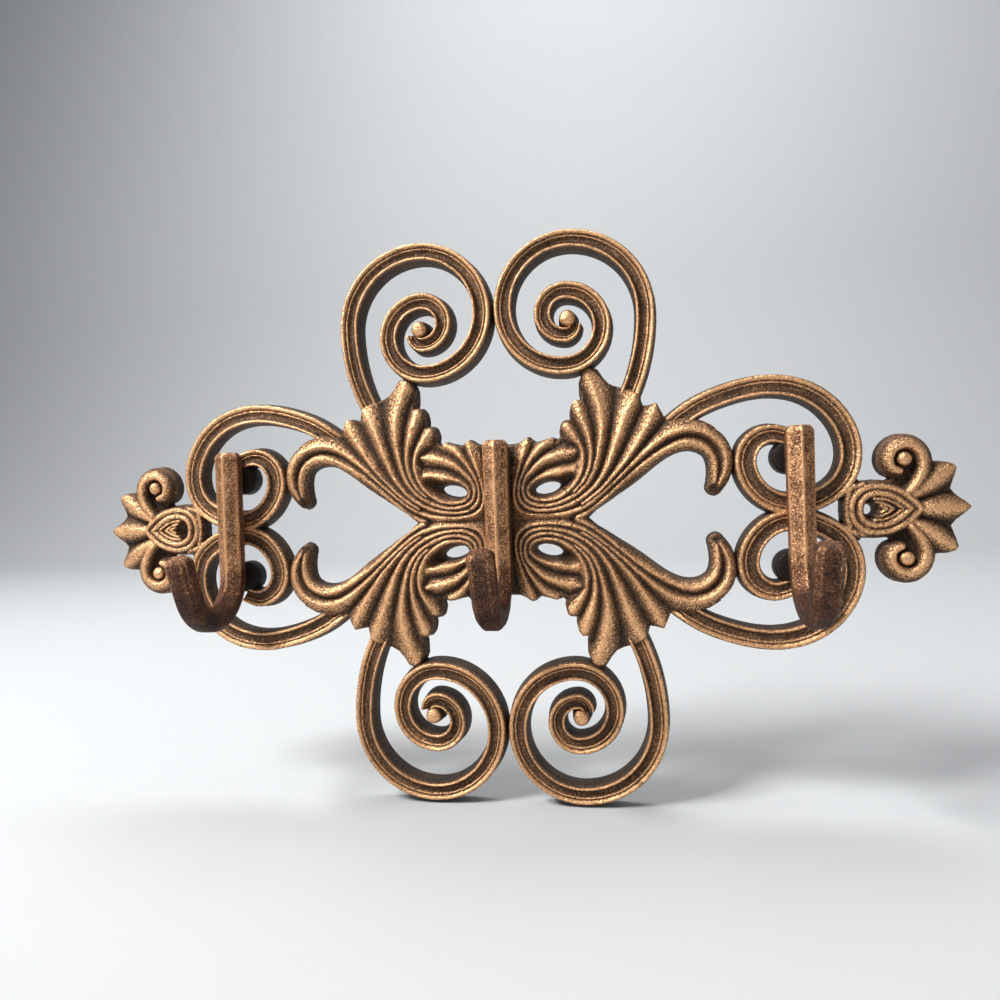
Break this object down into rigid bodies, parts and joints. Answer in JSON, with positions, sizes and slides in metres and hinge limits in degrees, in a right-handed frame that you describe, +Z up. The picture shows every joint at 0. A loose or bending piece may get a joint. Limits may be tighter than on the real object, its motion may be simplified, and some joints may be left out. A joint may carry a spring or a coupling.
{
  "type": "wall hook rack",
  "caption": "Ornamental cast iron wall rack of scrolls and acanthus leaves, with a row of faceted J hooks and a screw hole at each end.",
  "frame": {"origin": "midway between the two screw holes, on the flat back that lies against the wall", "axes": "+X along the rack, +Y from the front into the wall, +Z up"},
  "size_m": [0.403, 0.063, 0.2642],
  "materials": {
    "rack_casting": "dark brown antiqued with rubbed copper gold on the raised ridges",
    "hook_casting": "dark reddish brown with rubbed copper on the edges"
  },
  "bodies": {
    "root": {"scroll_plate": "rack_casting", "hook_left": "hook_casting", "hook_centre": "hook_casting", "hook_right": "hook_casting"}
  },
  "joints": []
}
